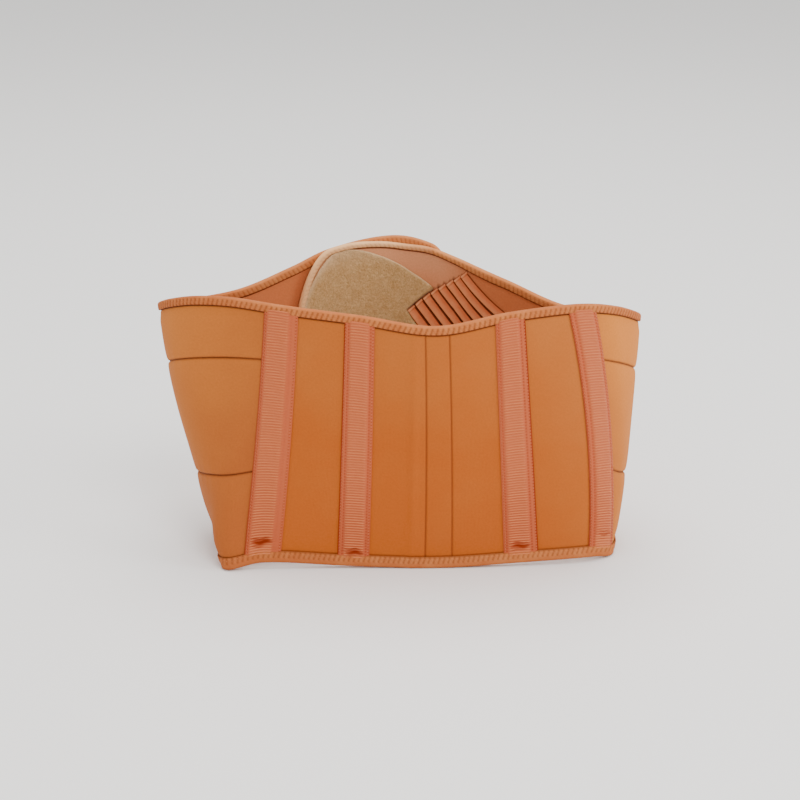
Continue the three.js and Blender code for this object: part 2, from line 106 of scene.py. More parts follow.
RIM_TAPE_LEG = 7 * MM
PALE_TAPE_LEG = 4.2 * MM
PALE_TAPE_FROM = 19.4
TAPE_FACE = LAYER_CLEAR + TAPE_THICKNESS
HEM_LIFT = TAPE_THICKNESS + 0.2 * MM
LAYER_STEP = 8 * MM
CELL = 2.6 * MM
OUTER_END = -0.75
INNER_END = STATION_COUNT + 2.05
front_reach = WALL_STATIONS[0, 6]
back_reach = -WALL_STATIONS[11, 1]
half_span = (cad_high.x - cad_low.x) / 2 - TAPE_FACE
half_depth = (cad_high.y - cad_low.y - 2 * TAPE_FACE) / (front_reach + back_reach)
back_height = (cad_high.z - HEM_LIFT - TAPE_FACE) / WALL_STATIONS[0, 2]
depth_shift = -(front_reach - back_reach) / 2 * half_depth


def smooth(low, high, value):
    share = np.clip((value - low) / (high - low), 0, 1)
    return share * share * (3 - 2 * share)


def bell(distance, width):
    """1 on a line, and gone at about twice the width from it."""
    return np.exp(-((distance / width) ** 2))


def level_points():
    rim_x, rim_y, rim_z, mid_x, mid_y, hem_x, hem_y, hem_z = WALL_STATIONS.T
    levels = [(hem_x, hem_y, hem_z), (mid_x, mid_y, (rim_z + hem_z) / 2), (rim_x, rim_y, rim_z)]
    points = np.array([np.stack(level, axis=1) for level in levels])
    points = points * (half_span, half_depth, back_height)
    return points + (0, depth_shift, HEM_LIFT)


def curve_terms(points):
    """The cubic of each stretch of a closed centripetal curve through the points."""
    before, start, end, after = (np.roll(points, k, axis=1) for k in (1, 0, -1, -2))

    def reach(a, b):
        return np.linalg.norm(b - a, axis=2, keepdims=True) ** 0.5

    first, middle, last = reach(before, start), reach(start, end), reach(end, after)
    leave = (start - before) / first - (end - before) / (first + middle) + (end - start) / middle
    arrive = (end - start) / middle - (after - start) / (middle + last) + (after - end) / last
    leave, arrive = leave * middle, arrive * middle
    return np.stack([
        start,
        leave,
        3 * (end - start) - 2 * leave - arrive,
        2 * (start - end) + leave + arrive,
    ])


wall_terms = curve_terms(level_points())


def wall_at(s, t):
    """The bare outer face, and how it runs along and up, at station s and height share t."""
    stretch = np.floor(s).astype(int) % STATION_COUNT
    part = (s - np.floor(s))[..., None]
    terms = wall_terms[:, :, stretch]
    places = terms[0] + part * (terms[1] + part * (terms[2] + part * terms[3]))
    runs = terms[1] + part * (2 * terms[2] + 3 * part * terms[3])
    weights = np.stack([(2 * t - 1) * (t - 1), 4 * t * (1 - t), t * (2 * t - 1)])[..., None]
    climbs = np.stack([4 * t - 3, 4 - 8 * t, 4 * t - 1])[..., None]
    return (places * weights).sum(0), (runs * weights).sum(0), (places * climbs).sum(0)


def outward_of(along, up):
    normal = np.cross(along, up)
    return normal / np.linalg.norm(normal, axis=-1, keepdims=True)


# Soft folds of the back and the low sides that all the layers there share.
SOFT_FOLDS = (
    # middle (station, height), half width in stations, half height, lean in stations, rise in mm
    (10.69, 0.42, 0.05, 0.5, 0.03, 1.5),
    (10.76, 0.1, 0.03, 0.1, -0.4, 0.7),
    (11.32, 0.7, 0.2, 0.02, 0, 0.55),
    (11.3, 0.36, 0.22, 0.025, 0, 0.5),
    (9.55, 0.55, 0.25, 0.5, 0, 1.0),
    (12.5, 0.5, 0.3, 0.5, 0, 0.8),
    (7.6, 0.92, 0.7, 0.03, 0, 0.6),
    (12.68, 0.915, 0.05, 0.06, 6.4, -0.55),
    (7.9, 0.9, 0.06, 0.06, 5, 0.4),
    (5.7, 0.12, 1.3, 0.17, 0, 8),
    (7.6, 0.09, 0.9, 0.15, 0, 8),
    (14.7, 0.25, 0.8, 0.3, 0, 3.5),
)


def soft_fold(s, t):
    out = np.zeros(np.broadcast(s, t).shape)
    for station, height, half_width, half_height, lean, rise in SOFT_FOLDS:
        side = (s - station - lean * (t - height)) / half_width
        out = out + rise * MM * np.exp(-side**2 - ((t - height) / half_height) ** 2)
    return out * (0.6 + 0.4 * smooth(0, 0.06, t)) * smooth(1, 0.94, t)


def rim_drop(s):
    """The inner flap's rim dips where the outer one stands highest, and lifts again beyond it."""
    dip = 6.2 * MM * bell(s - 19.95, 0.42)
    return dip - 3.3 * MM * smooth(20.35, 20.9, s)


def rim_leg(s):
    """The tape's leg at the rim: shorter where the pale tape of the inner flap's end begins."""
    pale = smooth(PALE_TAPE_FROM - 1.2, PALE_TAPE_FROM, s)
    return RIM_TAPE_LEG + (PALE_TAPE_LEG - RIM_TAPE_LEG) * pale


def cloth_points(s, t, out):
    """Points `out` outside the bare face. The inner flap runs inside the outer one."""
    s, t, out = np.broadcast_arrays(s, t, out)
    inside = smooth(STATION_COUNT - 3.2, STATION_COUNT + OUTER_END - 0.35, s)
    rim_height = wall_at(s, np.ones_like(t))[0][..., 2]
    level = t * (1 - rim_drop(s) / rim_height)
    place, along, up = wall_at(s, level)
    stand = out + soft_fold(s, level) - inside * LAYER_STEP
    return place + outward_of(along, up) * stand[..., None]


ARC_STATIONS = np.linspace(OUTER_END - 1, STATION_COUNT + 3, 2400)
_, arc_runs, _ = wall_at(ARC_STATIONS, np.full_like(ARC_STATIONS, 0.5))
ARC_LENGTHS = np.cumsum(np.linalg.norm(arc_runs, axis=1)) * (ARC_STATIONS[1] - ARC_STATIONS[0])


def arc(s):
    """Length along the middle of the wall, in metres."""
    return np.interp(s, ARC_STATIONS, ARC_LENGTHS)


def wall_height(s):
    s = np.asarray(s, float)
    rim, hem = wall_at(s, np.ones_like(s))[0], wall_at(s, np.zeros_like(s))[0]
    return np.linalg.norm(rim - hem, axis=-1)


# Back panels: three pieces of foam-backed cloth sewn edge to edge beside the spine. Each edge rolls
# into its seam, and the fold lines beside the spine come from the cloth being stood up.
SPINE_LEFT, SPINE_RIGHT = 10.845, 11.165
LEFT_STAY, RIGHT_STAY = 9, 13


def linear(code):
    """sRGB hex to linear colour."""
    channels = [int(code[k:k + 2], 16) / 255 for k in (1, 3, 5)]
    return (*(c / 12.92 if c <= 0.04045 else ((c + 0.055) / 1.055) ** 2.4 for c in channels), 1)


def add_node(material, kind, inputs=None, **settings):
    node = material.node_tree.nodes.new(kind)
    for name, value in settings.items():
        setattr(node, name, value)
    for name, value in (inputs or {}).items():
        if isinstance(value, bpy.types.NodeSocket):
            material.node_tree.links.new(value, node.inputs[name])
        else:
            node.inputs[name].default_value = value
    return node


def new_material(name):
    material = bpy.data.materials.new(name)
    material.use_nodes = True
    material.node_tree.nodes.clear()
    return material


def finish_material(material, inputs):
    shader = add_node(material, "ShaderNodeBsdfPrincipled", inputs)
    add_node(material, "ShaderNodeOutputMaterial", {"Surface": shader.outputs["BSDF"]})
    return material


def knitted_cloth(name, face, faded, seam, knit_mm=1.3):
    """Foam-backed circular knit, brushed flat: matt, with a fine stitch and soft uneven colour. Its
    point shades make it paler, mostly as painted light, and darker at its seams and as painted shadow.
    The stitch is drawn at 1.3 mm, about twice its size, so that it shows."""
    material = new_material(name)
    cloth = add_node(material, "ShaderNodeUVMap", uv_map="cloth").outputs["UV"]
    seams = add_node(material, "ShaderNodeAttribute", attribute_name="seam").outputs["Fac"]
    light_and_tone_share = add_node(material, "ShaderNodeAttribute", attribute_name="fade").outputs["Fac"]
    wales = add_node(material, "ShaderNodeTexWave", {
        "Vector": cloth, "Scale": math.pi / (10 * knit_mm * MM), "Distortion": 1.2, "Detail": 2,
        "Detail Scale": 0.6,
    }, bands_direction="X")
    courses = add_node(material, "ShaderNodeTexWave", {
        "Vector": cloth, "Scale": math.pi / (10 * knit_mm * MM * 1.2), "Distortion": 1.5, "Detail": 2,
        "Detail Scale": 0.6,
    }, bands_direction="Y")
    nap = add_node(material, "ShaderNodeTexNoise", {
        "Vector": cloth, "Scale": 1 / (2.2 * MM), "Detail": 4, "Roughness": 0.65,
    })
    patchy = add_node(material, "ShaderNodeTexNoise", {
        "Vector": cloth, "Scale": 1 / (55 * MM), "Detail": 3, "Roughness": 0.55,
    })
    knit = add_node(material, "ShaderNodeMath", {
        0: wales.outputs["Fac"], 1: courses.outputs["Fac"],
    }, operation="MULTIPLY")
    uneven = add_node(material, "ShaderNodeMapRange", {
        "Value": patchy.outputs["Fac"], "From Min": 0.35, "From Max": 0.68,
        "To Min": -0.06, "To Max": 0.06,
    })
    # The pale share is the cloth's own uneven tone plus the painted light of the point shades.
    pale = add_node(material, "ShaderNodeMath", {
        0: uneven.outputs["Result"], 1: light_and_tone_share,
    }, operation="ADD", use_clamp=True)
    lit_and_toned = add_node(material, "ShaderNodeMix", {
        "Factor": pale.outputs["Value"], "A": linear(face), "B": linear(faded),
    }, data_type="RGBA")
    specks = add_node(material, "ShaderNodeMapRange", {
        "Value": nap.outputs["Fac"], "From Min": 0.3, "From Max": 0.7, "To Min": 0.93, "To Max": 1.06,
    })
    flecked = add_node(material, "ShaderNodeVectorMath", {
        0: lit_and_toned.outputs["Result"], "Scale": specks.outputs["Result"],
    }, operation="SCALE")
    shaded = add_node(material, "ShaderNodeMix", {
        "Factor": seams, "A": flecked.outputs["Vector"], "B": linear(seam),
    }, data_type="RGBA")
    relief = add_node(material, "ShaderNodeMath", {
        0: knit.outputs["Value"], 1: 0.6, 2: nap.outputs["Fac"],
    }, operation="MULTIPLY_ADD")
    bump = add_node(material, "ShaderNodeBump", {
        "Height": relief.outputs["Value"], "Strength": 0.3, "Distance": 0.35 * MM,
    })
    return finish_material(material, {
        "Base Color": shaded.outputs["Result"], "Roughness": 0.9, "Specular IOR Level": 0.2,
        "Sheen Weight": 0.09, "Sheen Roughness": 0.4, "Sheen Tint": linear("#ffe2b8"),
        "Normal": bump.outputs["Normal"],
    })


def shade_points(piece, shape, shades):
    """Point attributes for the materials: seam darkens seams and stitches and lays painted shadow, the
    paling attribute lays painted light and some bands' own second tone, and rib paints cords lit on
    their crests and shaded in their grooves.
    """
    for kind, plain in (("seam", 0), ("fade", 0), ("rib", 1)):
        values = np.broadcast_to(shades.get(kind, plain), shape).astype(np.float32)
        piece.data.attributes.new(kind, "FLOAT", "POINT").data.foreach_set("value", values.ravel())


def cloth_grid(name, points, flat, shades):
    """A grid mesh through the points, with each one's place on the flat cloth for the weave."""
    rows, columns = points.shape[:2]
    bpy.ops.object.select_all(action="DESELECT")
    bpy.ops.mesh.primitive_grid_add(x_subdivisions=columns - 1, y_subdivisions=rows - 1, size=1)
    piece = bpy.context.object
    piece.name = piece.data.name = name
    piece.data.vertices.foreach_set("co", points.ravel())
    shade_points(piece, (rows, columns), shades)
    corners = np.empty(len(piece.data.loops), int)
    piece.data.loops.foreach_get("vertex_index", corners)
    layer = piece.data.uv_layers[0]
    layer.name = "cloth"
    layer.data.foreach_set("uv", flat.reshape(-1, 2)[corners].ravel())
    return piece


def finish_cloth(piece, material):
    bpy.ops.object.shade_smooth_by_angle(angle=math.radians(50))
    piece.data.materials.append(material)
    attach(piece, "root")


def cloth_sheet(name, s, t, out, thickness, material, slot, inside=False, **shades):
    """A sheet shaped over the wall, from a grid whose columns run along it and whose rows climb it.
    The grid is the face that shows; the thickness grows behind it."""
    flat = np.stack([arc(s), t * wall_height(s)], axis=-1)
    piece = cloth_grid(name, cloth_points(s, t, out), flat, shades)
    solidify = piece.modifiers.new("thickness", "SOLIDIFY")
    solidify.thickness = thickness
    solidify.offset = 1 if inside else -1
    bpy.ops.object.modifier_apply(modifier="thickness")
    finish_cloth(piece, material)
    return piece


def grid(s_shares, t_shares):
    return np.meshgrid(s_shares, t_shares)


def shares(length, cell):
    return np.linspace(0, 1, max(2, int(round(length / cell)) + 1))


HEM_ROWS = (0, 6, 10, 10.8, 11.3, 11.8, 12.2, 12.6, 13.1, 14)
RIM_ROWS = (0, 3, 5.8, 6.6, 7.1, 7.5, 7.9, 8.3, 8.8, 9.8)


def climb(low, high, tall, low_rows, high_rows):
    """Rows of height shares: at the given millimetres from both ends, and even between them."""
    near = low + np.array(low_rows)[:, None] * MM / tall
    far = high - np.array(high_rows)[::-1, None] * MM / tall
    count = int(((high - low) * tall).max() / CELL)
    part = np.linspace(0, 1, count + 1)[1:-1, None]
    return np.concatenate([near, near[-1] + (far[0] - near[-1]) * part, far])


def shadow_beside_tape(s, t, tall):
    """A thin line of painted shadow where the cloth goes in under the two tapes."""
    hem, rim = t * tall - HEM_TAPE_LEG - 0.5 * MM, (1 - t) * tall - rim_leg(s) - 0.9 * MM
    return 0.45 * bell(hem, 0.7 * MM) + 0.95 * np.exp(-((rim / (0.85 * MM)) ** 4))


back_cloth = knitted_cloth("foam-backed knit, back", "#aa5314", "#b87337", "#5a2008")


def near_seam(left, right, width):
    """Shares along a piece, closer together by its two sewn edges."""
    length = arc(right) - arc(left)
    fine = np.linspace(0, width / length, 7)
    middle = np.linspace(width / length, 1 - width / length, max(3, int(length / CELL)))
    return np.concatenate([fine[:-1], middle, 1 - fine[:-1][::-1]])


def light_and_tone_share(s, t):
    """Painted light: the cloth is painted paler towards the rim and on the two folds at the sides."""
    left, right = bell(s - 6.2, 1.5), bell(s - 14.6, 1.5)
    return (0.28 + 0.2 * right) * smooth(0.3, 1, t) + 0.35 * left * smooth(-0.1, 0.5, t) + 0.66 * right


def back_panel(name, left, right):
    s = left + (right - left) * near_seam(left, right, 3.6 * MM)
    tall = wall_height(s)
    t = climb(0, 1, tall, HEM_ROWS, RIM_ROWS)
    s = np.broadcast_to(s, t.shape)
    roll = bell(np.minimum(arc(s) - arc(left), arc(right) - arc(s)), 0.9 * MM)
    tuck_shadow = shadow_beside_tape(s, t, tall)
    # The seams are darkened, a painted shadow runs beside the tapes, and the paler share is painted
    # light.
    piece = cloth_sheet(name + "_cloth", s, t, -0.8 * MM * roll - 0.5 * MM * tuck_shadow, WALL, back_cloth,
                        "shell_cloth", seam=np.maximum(0.55 * roll, tuck_shadow), fade=light_and_tone_share(s, t))
    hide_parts(name)
    return piece


back_panel("back_panel_left", LEFT_STAY, SPINE_LEFT)
back_panel("spine_panel", SPINE_LEFT, SPINE_RIGHT)
back_panel("back_panel_right", SPINE_RIGHT, RIGHT_STAY)

# Padded sides: each is three sections of thicker foam, sewn through between them, so that the cloth
# swells up out of every seam and puckers along it.
LEFT_SIDE_FRONT, RIGHT_SIDE_FRONT = 3.6, 16.4
QUILT_RISE = 1.7 * MM
PUCKER = 0.3 * MM
PUCKER_PITCH = 13 * MM
SEAM_ROLL = 1.4 * MM
SEAM_WIDTH = 3.2 * MM
LOWER_SEAM = (0.37, 0.25)
UPPER_SEAM = (0.795, 0.735)
SEAM_ROWS = (0, 0.35, 0.8, 1.4, 2.2, 3.3, 4.7, 6.5)
side_cloth = knitted_cloth("foam-backed knit, sides", "#a0521f", "#c9782d", "#551f08")


def side_section(name, stay, front, bottom, top):
    length = abs(arc(front) - arc(stay))
    left, right = min(stay, front), max(stay, front)
    s = left + (right - left) * shares(length, CELL)
    back_share = (s - front) / (stay - front)

    def height(seam):
        at_stay, at_front = seam
        return at_front + (at_stay - at_front) * back_share

    low, high, tall = height(bottom), height(top), wall_height(s)
    has_hem, has_rim = bottom[0] == 0, top[0] == 1
    t = climb(low, high, tall, HEM_ROWS if has_hem else SEAM_ROWS, RIM_ROWS if has_rim else SEAM_ROWS)
    s = np.broadcast_to(s, t.shape)
    below = np.full(t.shape, 1.0) if has_hem else (t - low) * tall
    above = np.full(t.shape, 1.0) if has_rim else (high - t) * tall
    from_seam = np.minimum(below, above)
    from_stay = np.linalg.norm(wall_at(s, t)[0] - wall_at(np.full(t.shape, float(stay)), t)[0], axis=-1)
    swell = 1 - np.exp(-from_seam / (5 * MM))
    swell *= smooth(HEM_TAPE_LEG, HEM_TAPE_LEG + 14 * MM, t * tall)
    swell *= smooth(RIM_TAPE_LEG, RIM_TAPE_LEG + 14 * MM, (1 - t) * tall)
    swell *= smooth(21 * MM, 42 * MM, from_stay)
    swell *= smooth(0, 30 * MM, np.abs(arc(s) - arc(front)))
    waves = np.sin(2 * np.pi * arc(s) / PUCKER_PITCH + 1.7 * np.sin(arc(s) / (31 * MM)))
    pucker = PUCKER * waves * np.exp(-from_seam / (7 * MM)) * (1 - np.exp(-from_seam / (1.5 * MM)))
    roll = bell(from_seam, 1.3 * MM)
    tuck_shadow = shadow_beside_tape(s, t, tall)
    out = QUILT_RISE * swell + pucker - SEAM_ROLL * roll - 0.5 * MM * tuck_shadow
    # The seams are darkened, a painted shadow runs beside the tapes, and the paler share is painted
    # light.
    piece = cloth_sheet(name + "_pad", s, t, out, WALL, side_cloth, "padded_side_cloth",
                        seam=np.maximum(0.85 * roll**2, tuck_shadow), fade=light_and_tone_share(s, t))
    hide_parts(name)


SIDES = (("left", LEFT_STAY, LEFT_SIDE_FRONT), ("right", RIGHT_STAY, RIGHT_SIDE_FRONT))
for side, stay, front in SIDES:
    side_section(side + "_side_lower", stay, front, (0, 0), LOWER_SEAM)
    side_section(side + "_side_middle", stay, front, LOWER_SEAM, UPPER_SEAM)
    side_section(side + "_side_upper", stay, front, UPPER_SEAM, (1, 1))

# Front flaps: plain foam-backed cloth. The outer one ends square with small round corners, the inner
# one in a wide rounded tab.
INNER_CORNER = (1, 0.33)
OUTER_CORNER = (0.25, 0.06)
flap_cloth = knitted_cloth("foam-backed knit, flaps", "#c26d3e", "#d8966a", "#5a2209")


def corner_rows(corner_height):
    turn = np.linspace(0, np.pi / 2, 22)
    low = corner_height * (1 - np.cos(turn))
    middle = np.linspace(corner_height, 1 - corner_height, 44)[1:-1]
    by_tape = 1 - np.arange(3.6, 9.8, 0.55) * MM / back_height
    return np.unique(np.concatenate([low, middle, 1 - low, by_tape]).round(5))


def flap_end(t, end, corner, way):
    """Station of the flap's end at each height; way is 1 where the flap ends at higher stations."""
    reach, height = corner
    into = np.clip((height - np.minimum(t, 1 - t)) / height, 0, 1)
    return end - way * reach * (1 - np.sqrt(1 - into**2))


def flap(name, seam, end, corner, way, inner_shades):
    """A flap from its side seam to its rounded end. The inner shades lie on its inside face only."""
    u, t = grid(shares(abs(arc(end) - arc(seam)), CELL), corner_rows(corner[1]))
    tip = flap_end(t, end, corner, way)
    s = tip + (seam - tip) * u if way < 0 else seam + (tip - seam) * u
    roll = bell(arc(s) - arc(seam), SEAM_WIDTH)
    tuck_shadow = shadow_beside_tape(s, t, wall_height(s))
    # The seam is darkened, and a painted shadow runs beside the tapes.
    dark = np.maximum(roll**2, tuck_shadow * smooth(21, 20.6, s))
    piece = cloth_sheet(name + "_cloth", s, t, -SEAM_ROLL * roll, WALL, flap_cloth, "shell_cloth",
                        seam=dark)
    inner_face = slice(s.size, 2 * s.size)
    for kind, shade in inner_shades.items():
        points = piece.data.attributes[kind].data
        values = np.empty(len(points), np.float32)
        points.foreach_get("value", values)
        values[inner_face] = np.maximum(values[inner_face], shade(s, t).ravel())
        points.foreach_set("value", values)
    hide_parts(name)


STRIP_END = 16.75
STRIP_FIRST = np.array([18.815, 0.955, 0.16])
STRIP_LAST = np.array([19.82, 0.754, 0.27])


def under_strips(s, t):
    """The cloth is in shadow between the elastic strips."""
    levels = []
    for start_s, start_t, slope in (STRIP_FIRST, STRIP_LAST):
        gone = np.clip(start_s - s, 0, None)
        levels.append(start_t - slope * gone * (1 - gone / (start_s - STRIP_END) / 2))
    row = STRIP_FIRST[0] + (STRIP_FIRST[1] - t) * 5.2
    between = smooth(0.01, 0, t - levels[0]) * smooth(0.01, 0, levels[1] - t)
    return 0.9 * between * (s < row) * (s > STRIP_END)


def pale_top(s, t):
    """The cloth above the patch is paler."""
    return 0.9 * smooth(18.4, 19.4, s) * smooth(0.75, 0.95, t)


flap("outer_flap", LEFT_SIDE_FRONT, OUTER_END, OUTER_CORNER, -1, {})
flap("inner_flap", RIGHT_SIDE_FRONT, INNER_END, INNER_CORNER, 1,
     {"seam": under_strips, "fade": pale_top})

# Closure pad: the plain patch of hook-and-loop between the two flaps, which holds the brace closed.
pad_cloth = knitted_cloth("hook tape", "#9c5a34", "#a8643c", "#5d2f17", knit_mm=1.6)
PAD_ENDS = (STATION_COUNT + OUTER_END + 0.35, STATION_COUNT + 0.8)
PAD_THICKNESS = LAYER_STEP - WALL - 2 * LAYER_CLEAR
PAD_WIDTH, PAD_HEIGHT = 80 * MM, 180 * MM
pad_u, pad_v = grid(shares(PAD_WIDTH, 3 * MM), shares(PAD_HEIGHT, 3 * MM))
pad_s = PAD_ENDS[0] + (PAD_ENDS[1] - PAD_ENDS[0]) * pad_u
pad_t = 0.15 + 0.7 * pad_v
from_sides = np.minimum(pad_u, 1 - pad_u) * PAD_WIDTH
from_ends = np.minimum(pad_v, 1 - pad_v) * PAD_HEIGHT
pad_edge = np.minimum(from_sides, from_ends)
closure = cloth_sheet("closure_pad_hook_tape", pad_s, pad_t,
                      LAYER_CLEAR + PAD_THICKNESS - 0.8 * MM * bell(pad_edge, SEAM_WIDTH),
                      PAD_THICKNESS - 0.8 * MM, pad_cloth, "hook_tape")
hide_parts("closure_pad")

# Loop patch: brushed loop pile sewn to the inside of the inner flap, the half of the closure that the
# hooks grip. Its face is a mass of short tangled loops, matt and greener than the cloth.
PATCH_EDGES = np.array([
    # height share, station of the edge beside the strips, station of the edge beside the tape
    (0.1, 20.1, 21.5),
    (0.2, 19.95, 21.8),
    (0.35, 19.84, 21.955),
    (0.6, 19.7, 21.96),
    (0.655, 19.62, 21.96),
    (0.68, 19.68, 21.96),
    (0.711, 19.79, 21.96),
    (0.743, 19.885, 21.955),
    (0.792, 19.65, 21.92),
    (0.841, 19.4, 21.845),
    (0.853, 19.41, 21.825),
    (0.887, 19.7, 21.7),
    (0.922, 20.01, 21.53),
    (0.949, 20.3, 21.365),
    (0.966, 20.48, 21.23),
    (0.979, 20.66, 21.11),
    (0.984, 20.78, 21),
])
PILE_THICKNESS = 2 * MM
PATCH_WIDTH, PATCH_HEIGHT = 155 * MM, 210 * MM


def loop_pile(name, tip, root, shadow, edge, seam):
    """Brushed nylon loops: no gloss, a tangled grain of pale loop and dark root, clumped by wear, with
    painted shadow deep in the tangle. The edge colour is a painted highlight, and the seam colour also
    paints shadow.
    """
    material = new_material(name)
    cloth = add_node(material, "ShaderNodeUVMap", uv_map="cloth").outputs["UV"]
    tangle = add_node(material, "ShaderNodeTexNoise", {
        "Vector": cloth, "Scale": 1 / (2.4 * MM), "Detail": 5, "Roughness": 0.75, "Distortion": 0.8,
    })
    clumps = add_node(material, "ShaderNodeTexNoise", {
        "Vector": cloth, "Scale": 1 / (11 * MM), "Detail": 4, "Roughness": 0.7,
    })
    brushed = add_node(material, "ShaderNodeMapRange", {
        "Value": clumps.outputs["Fac"], "From Min": 0.35, "From Max": 0.65,
    })
    clumped = add_node(material, "ShaderNodeMix", {
        "Factor": brushed.outputs["Result"], "A": linear(root), "B": linear(tip),
    }, data_type="RGBA")
    deep = add_node(material, "ShaderNodeMapRange", {
        "Value": tangle.outputs["Fac"], "From Min": 0.34, "From Max": 0.58, "To Min": 0.7, "To Max": 0,
    })
    tangled = add_node(material, "ShaderNodeMix", {
        "Factor": deep.outputs["Result"], "A": clumped.outputs["Result"], "B": linear(shadow),
    }, data_type="RGBA")
    pale = add_node(material, "ShaderNodeAttribute", attribute_name="fade").outputs["Fac"]
    edged = add_node(material, "ShaderNodeMix", {
        "Factor": pale, "A": tangled.outputs["Result"], "B": linear(edge),
    }, data_type="RGBA")
    seams = add_node(material, "ShaderNodeAttribute", attribute_name="seam").outputs["Fac"]
    sewn = add_node(material, "ShaderNodeMix", {
        "Factor": seams, "A": edged.outputs["Result"], "B": linear(seam),
    }, data_type="RGBA")
    bump = add_node(material, "ShaderNodeBump", {
        "Height": tangle.outputs["Fac"], "Strength": 1, "Distance": 1.0 * MM,
    })
    return finish_material(material, {
        "Base Color": sewn.outputs["Result"], "Roughness": 1, "Specular IOR Level": 0.1,
        "Sheen Weight": 0.3, "Sheen Roughness": 0.7, "Sheen Tint": linear("#f5dcb8"),
        "Normal": bump.outputs["Normal"],
    })


pile = loop_pile("brushed nylon loop pile", "#cfa670", "#bb8f58", "#8f6c3c", "#ecc79a", "#5a2a10")
rows = np.concatenate([np.arange(0.1, 0.94, 0.006), np.linspace(0.94, 0.984, 24)])
u, patch_t = grid(shares(PATCH_WIDTH, 1.5 * MM), rows)
patch_right = np.interp(patch_t, PATCH_EDGES[:, 0], PATCH_EDGES[:, 1])
patch_left = np.interp(patch_t, PATCH_EDGES[:, 0], PATCH_EDGES[:, 2])
patch_s = patch_right + (patch_left - patch_right) * u
chance = np.random.default_rng(11)
fuzz = chance.normal(0, 0.12 * MM, patch_s.shape)
right_slant = np.interp(patch_t, (0.7, 0.75, 0.84, 0.86), (1, 0.66, 0.66, 0.45))
left_slant = np.interp(patch_t, (0.8, 0.97), (1, 0.5))
from_right = (arc(patch_s) - arc(patch_right)) * right_slant
from_left = (arc(patch_left) - arc(patch_s)) * left_slant
patch_edge = np.minimum(from_right, from_left)
patch_out = -WALL - LAYER_CLEAR - PILE_THICKNESS * (0.35 + 0.65 * (1 - np.exp(-patch_edge / (1.5 * MM))))
# The sewn edge along the row of strips carries a painted shadow; painted highlights pale the upper edge
# beside the strips, the edge beside the tape and the top.
by_row = smooth(0.72, 0.75, patch_t) * smooth(0.85, 0.84, patch_t)
sewn_edge_and_shadow = 0.85 * bell(from_right, 1.2 * MM) * by_row
painted_edge_light = 0.38 * bell(from_right, 1.3 * MM) * smooth(0.85, 0.86, patch_t)
painted_edge_light = painted_edge_light + 0.4 * bell(from_left, 4 * MM) + 0.25 * smooth(0.9, 0.98, patch_t)
loop_patch = cloth_sheet("loop_patch_pile", patch_s, patch_t, patch_out + fuzz, 0.6 * MM, pile,
                         "loop_pile", inside=True, seam=sewn_edge_and_shadow, fade=np.clip(painted_edge_light, 0, 1))
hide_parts("loop_patch")

# Elastic strips: eight flat woven elastics, each folded under at its upper end and sewn on beside the
# patch in a slanting row. They lie like louvres, one edge lifted over a gap darkened with painted
# shadow.
STRIP_COUNT = 8
STRIP_WIDTH = 9.5 * MM
STATION_MM = 75


